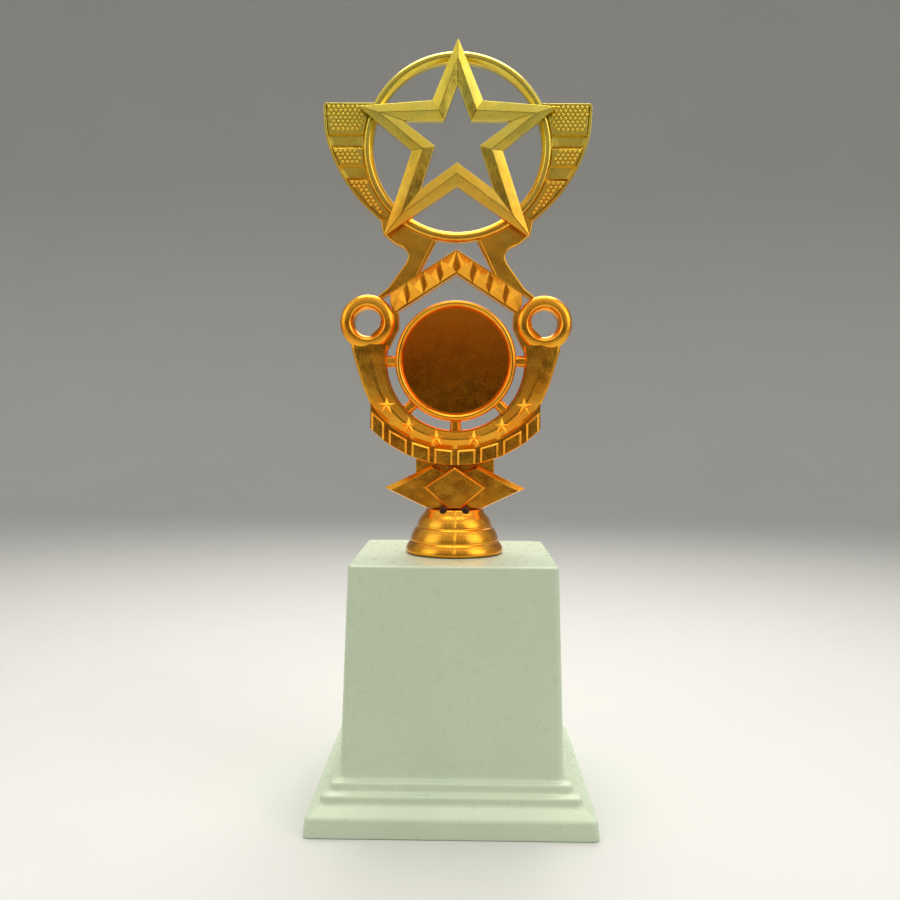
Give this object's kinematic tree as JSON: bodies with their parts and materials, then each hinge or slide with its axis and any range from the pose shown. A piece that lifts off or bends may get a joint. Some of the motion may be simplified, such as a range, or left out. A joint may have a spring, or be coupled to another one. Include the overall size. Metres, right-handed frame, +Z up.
{
  "type": "star trophy",
  "caption": "Gold star trophy: an openwork star, ring and medallion figure that turns on a rod in a hollow stepped ivory plinth.",
  "frame": {"origin": "on the table, under the middle of the plinth", "axes": "+Z up, the figure faces -Y, +X to the viewer's right"},
  "size_m": [0.1018, 0.1, 0.2833],
  "materials": {
    "gold_plating": "bright gold vacuum metallised plastic",
    "gold_foil": "mirror gold foil with fine scratches",
    "pin_enamel": "dark brown gloss",
    "ivory_plastic": "pale greenish ivory, satin gloss",
    "zinc_steel": "zinc plated",
    "cement": "cast cement, matte",
    "cover_plastic": "black, lightly grained",
    "felt": "dense felt"
  },
  "bodies": {
    "plinth": {"plinth_shell": "ivory_plastic", "ballast_block": "cement", "bottom_cover": "cover_plastic", "cover_screw_1": "zinc_steel", "cover_screw_2": "zinc_steel", "cover_screw_3": "zinc_steel", "cover_screw_4": "zinc_steel", "felt_pad_1": "felt", "felt_pad_2": "felt", "felt_pad_3": "felt", "felt_pad_4": "felt"},
    "figure": {"threaded_rod": "zinc_steel", "lower_nut": "zinc_steel", "lower_washer": "zinc_steel", "foot_nut": "zinc_steel", "foot": "gold_plating", "left_pin": "pin_enamel", "right_pin": "pin_enamel", "spine_plate": "gold_plating", "left_diamond": "gold_plating", "right_diamond": "gold_plating", "centre_diamond": "gold_plating", "medallion_cup": "gold_plating", "medallion_disc": "gold_foil", "left_eyelet": "gold_plating", "right_eyelet": "gold_plating", "lower_band": "gold_plating", "tile_strip": "gold_plating", "chevron_bar": "gold_plating", "left_strut": "gold_plating", "right_strut": "gold_plating", "ring": "gold_plating", "left_wing": "gold_plating", "right_wing": "gold_plating", "star_emblem": "gold_plating"}
  },
  "joints": [
    {"name": "figure_swivel", "type": "hinge", "parent": "plinth", "child": "figure", "pos_m": [0, 0, 0.0898], "axis": [0, 0, 1], "continuous": true}
  ]
}
